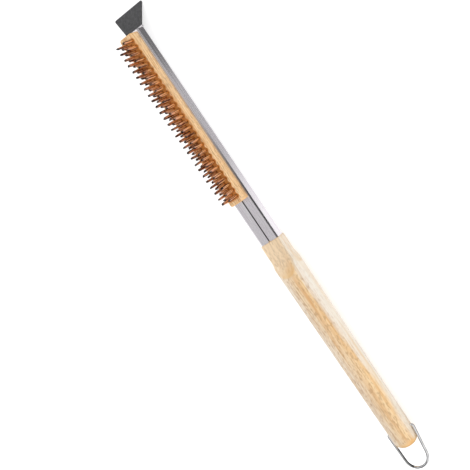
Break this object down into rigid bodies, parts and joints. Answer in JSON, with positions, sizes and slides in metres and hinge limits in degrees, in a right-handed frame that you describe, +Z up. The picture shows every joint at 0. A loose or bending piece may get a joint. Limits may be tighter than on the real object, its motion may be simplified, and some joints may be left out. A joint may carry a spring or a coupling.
{
  "type": "pizza oven brush",
  "caption": "Long oven brush: rows of copper-coloured wire tufts in a wooden block on a folded steel tube that ends in a flared scraper, with a turned wooden handle and a wire bail.",
  "frame": {"origin": "middle of the whole brush's outline, on the surface that it lies on", "axes": "+X along the brush towards the scraper, +Z up the way the bristles point, with the brush on its back"},
  "size_m": [0.54, 0.0374, 0.0542],
  "materials": {
    "sheet_steel": "brushed stainless sheet",
    "block_wood": "sanded, clear satin",
    "bristle_wire": "copper-coloured wire",
    "anchor_steel": "plain steel",
    "screw_steel": "zinc-plated steel",
    "handle_wood": "sanded, clear satin",
    "bail_wire": "bright steel wire"
  },
  "bodies": {
    "brush": {"steel_shank": "sheet_steel", "brush_block": "block_wood", "tufts_left": "bristle_wire", "tufts_middle": "bristle_wire", "tufts_right": "bristle_wire", "tuft_anchors": "anchor_steel", "block_screws": "screw_steel", "handle": "handle_wood", "tenon_screw": "screw_steel"},
    "bail": {"hanging_bail": "bail_wire"}
  },
  "joints": [
    {"name": "bail_swing", "type": "hinge", "parent": "brush", "child": "bail", "pos_m": [-0.22646, 0, 0.01815], "axis": [0, 1, 0], "range_deg": [-164, 152]}
  ]
}
